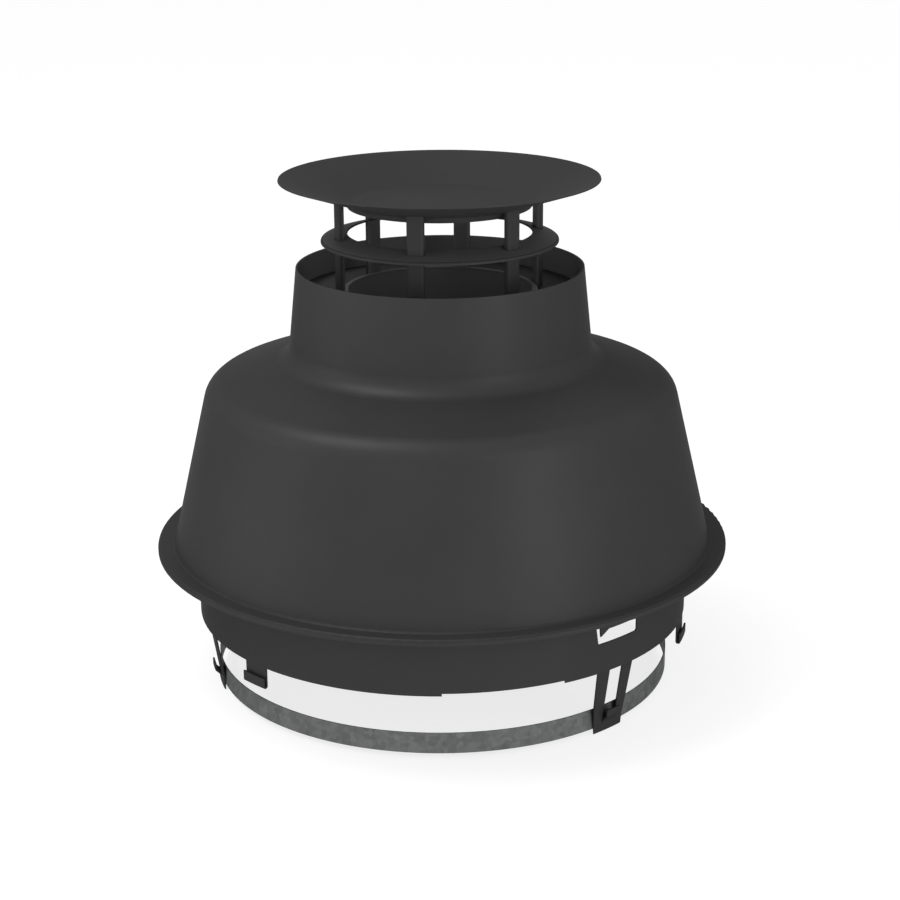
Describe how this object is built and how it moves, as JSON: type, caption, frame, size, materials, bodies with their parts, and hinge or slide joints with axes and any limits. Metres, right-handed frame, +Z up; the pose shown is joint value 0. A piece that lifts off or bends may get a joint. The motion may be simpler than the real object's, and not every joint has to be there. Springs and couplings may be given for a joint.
{
  "type": "flue cap",
  "caption": "Bell-shaped roof flue cap with a dished rain disc on struts over a necked hood, and a clip-on base ring with a duct strap.",
  "frame": {"origin": "on the cap's axis, at the level of the clips' feet", "axes": "+Z up along the cap's axis, +X through the first clip"},
  "size_m": [0.502, 0.502, 0.4429],
  "materials": {
    "coated_sheet": "satin dark grey powder coat",
    "flue_steel": "satin dark coat inside and out",
    "bracket_steel": "satin dark coat",
    "galvanised": "spangled galvanised steel",
    "plated_fastener": "zinc plated"
  },
  "bodies": {
    "root": {"hood": "coated_sheet", "base_ring": "coated_sheet", "wind_ring": "coated_sheet", "rain_disc": "coated_sheet", "disc_stiffener": "coated_sheet", "neck_plate": "coated_sheet", "clip_1": "coated_sheet", "clip_2": "coated_sheet", "clip_3": "coated_sheet", "strut_1": "coated_sheet", "strut_2": "coated_sheet", "strut_3": "coated_sheet", "strut_4": "coated_sheet", "strut_5": "coated_sheet", "strut_6": "coated_sheet", "flue_pipe": "flue_steel", "hood_bracket_1": "bracket_steel", "hood_bracket_2": "bracket_steel", "hood_bracket_3": "bracket_steel", "strap": "galvanised", "strap_bolt": "plated_fastener", "strap_nut": "plated_fastener", "bracket_rivet_1a": "plated_fastener", "bracket_rivet_1b": "plated_fastener", "bracket_rivet_2a": "plated_fastener", "bracket_rivet_2b": "plated_fastener", "bracket_rivet_3a": "plated_fastener", "bracket_rivet_3b": "plated_fastener"}
  },
  "joints": []
}
